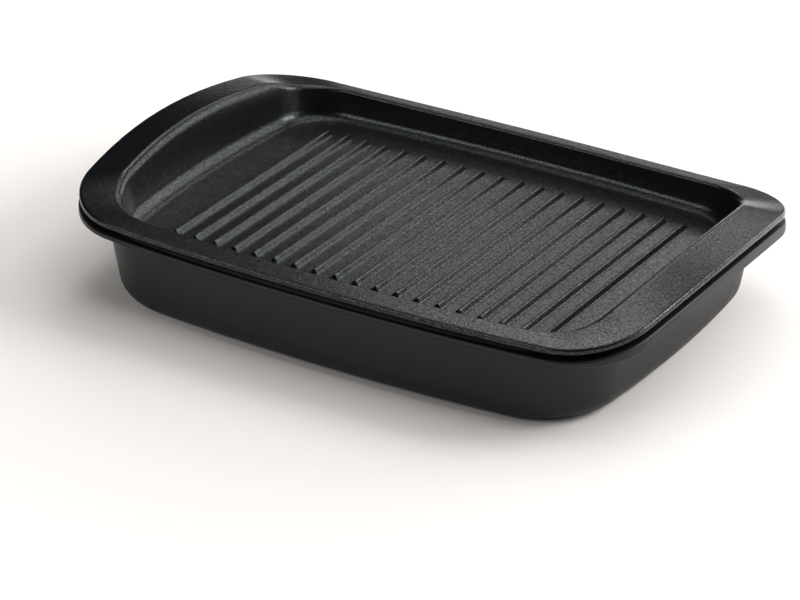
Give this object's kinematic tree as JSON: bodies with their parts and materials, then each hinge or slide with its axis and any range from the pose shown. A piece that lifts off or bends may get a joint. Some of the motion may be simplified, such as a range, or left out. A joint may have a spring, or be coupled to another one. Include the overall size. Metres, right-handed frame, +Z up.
{
  "type": "plancha griddle plate",
  "caption": "Cast roasting pan with a recessed, ribbed griddle plate that lies on its rim as a lift-off lid; both have wide, raised grip flanges at the short ends.",
  "frame": {"origin": "middle of the pan's flat foot, on the surface that it stands on", "axes": "+X along the length, from grip flange to grip flange; +Y across the width, parallel to the ribs; +Z up, out of the plate's well"},
  "size_m": [0.3866, 0.2512, 0.0721],
  "materials": {
    "plate_coat": "cast aluminium under a near-black, semi-matte, finely grained non-stick coat",
    "pan_coat": "cast aluminium under a smooth matte dark grey coat"
  },
  "bodies": {
    "pan": {"roasting_pan": "pan_coat"},
    "plate": {"griddle_plate": "plate_coat"}
  },
  "joints": [
    {"name": "plate_lift", "type": "slide", "parent": "pan", "child": "plate", "axis": [0, 0, 1], "range_m": [0, 0.08]}
  ]
}
